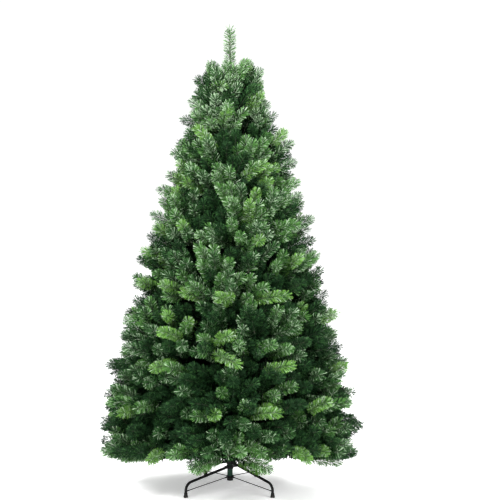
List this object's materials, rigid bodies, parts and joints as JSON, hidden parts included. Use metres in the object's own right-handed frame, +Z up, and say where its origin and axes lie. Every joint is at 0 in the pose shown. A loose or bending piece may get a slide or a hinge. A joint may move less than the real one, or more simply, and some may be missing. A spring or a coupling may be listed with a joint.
{
  "type": "artificial christmas tree with folding metal stand",
  "caption": "Undecorated artificial Christmas tree: tiers of needle sprays on wire twigs round a straight steel pole, on a folding stand with bent tube legs.",
  "frame": {"origin": "on the floor under the pole's axis, at the centre of the crown's footprint", "axes": "+Z up the pole, the pictured side faces -Y, +X to the right as seen in the picture"},
  "size_m": [1.178, 1.2026, 2.1],
  "materials": {
    "needle_green": "matte plastic-film needles",
    "bough_wrap": "wire wrapped in matte plastic film",
    "pole_green": "satin paint",
    "stand_black": "satin powder coat",
    "foot_rubber": "matte",
    "end_cap_black": "matte"
  },
  "bodies": {
    "root": {"bough_lower_1": "bough_wrap", "bough_lower_2": "bough_wrap", "bough_lower_3": "bough_wrap", "bough_lower_4": "bough_wrap", "bough_lower_5": "bough_wrap", "bough_skirt_1": "bough_wrap", "bough_skirt_2": "bough_wrap", "bough_skirt_3": "bough_wrap", "bough_skirt_4": "bough_wrap", "bough_skirt_5": "bough_wrap", "bough_skirt_6": "bough_wrap", "brace_ring": "stand_black", "brace_rod_front_left": "stand_black", "brace_rod_front_right": "stand_black", "brace_rod_rear_left": "stand_black", "brace_rod_rear_right": "stand_black", "foliage_crown_top_1": "needle_green", "foliage_crown_top_2": "needle_green", "foliage_crown_top_3": "needle_green", "foliage_high_middle_1": "needle_green", "foliage_high_middle_2": "needle_green", "foliage_high_middle_3": "needle_green", "foliage_high_middle_4": "needle_green", "foliage_leader": "needle_green", "foliage_low_middle_1": "needle_green", "foliage_low_middle_2": "needle_green", "foliage_low_middle_3": "needle_green", "foliage_low_middle_4": "needle_green", "foliage_low_middle_5": "needle_green", "foliage_lower_1": "needle_green", "foliage_lower_2": "needle_green", "foliage_lower_3": "needle_green", "foliage_lower_4": "needle_green", "foliage_lower_5": "needle_green", "foliage_middle_1": "needle_green", "foliage_middle_2": "needle_green", "foliage_middle_3": "needle_green", "foliage_middle_4": "needle_green", "foliage_skirt_1": "needle_green", "foliage_skirt_2": "needle_green", "foliage_skirt_3": "needle_green", "foliage_skirt_4": "needle_green", "foliage_skirt_5": "needle_green", "foliage_skirt_6": "needle_green", "foliage_upper_1": "needle_green", "foliage_upper_2": "needle_green", "foliage_upper_3": "needle_green", "foot_cap_front_left": "foot_rubber", "foot_cap_front_right": "foot_rubber", "foot_cap_rear_left": "foot_rubber", "foot_cap_rear_right": "foot_rubber", "leg_collar_high": "stand_black", "leg_collar_low": "stand_black", "pole_end_cap": "end_cap_black", "stand_leg_front_left": "stand_black", "stand_leg_front_right": "stand_black", "stand_leg_rear_left": "stand_black", "stand_leg_rear_right": "stand_black", "trunk_pole": "pole_green"}
  },
  "joints": []
}
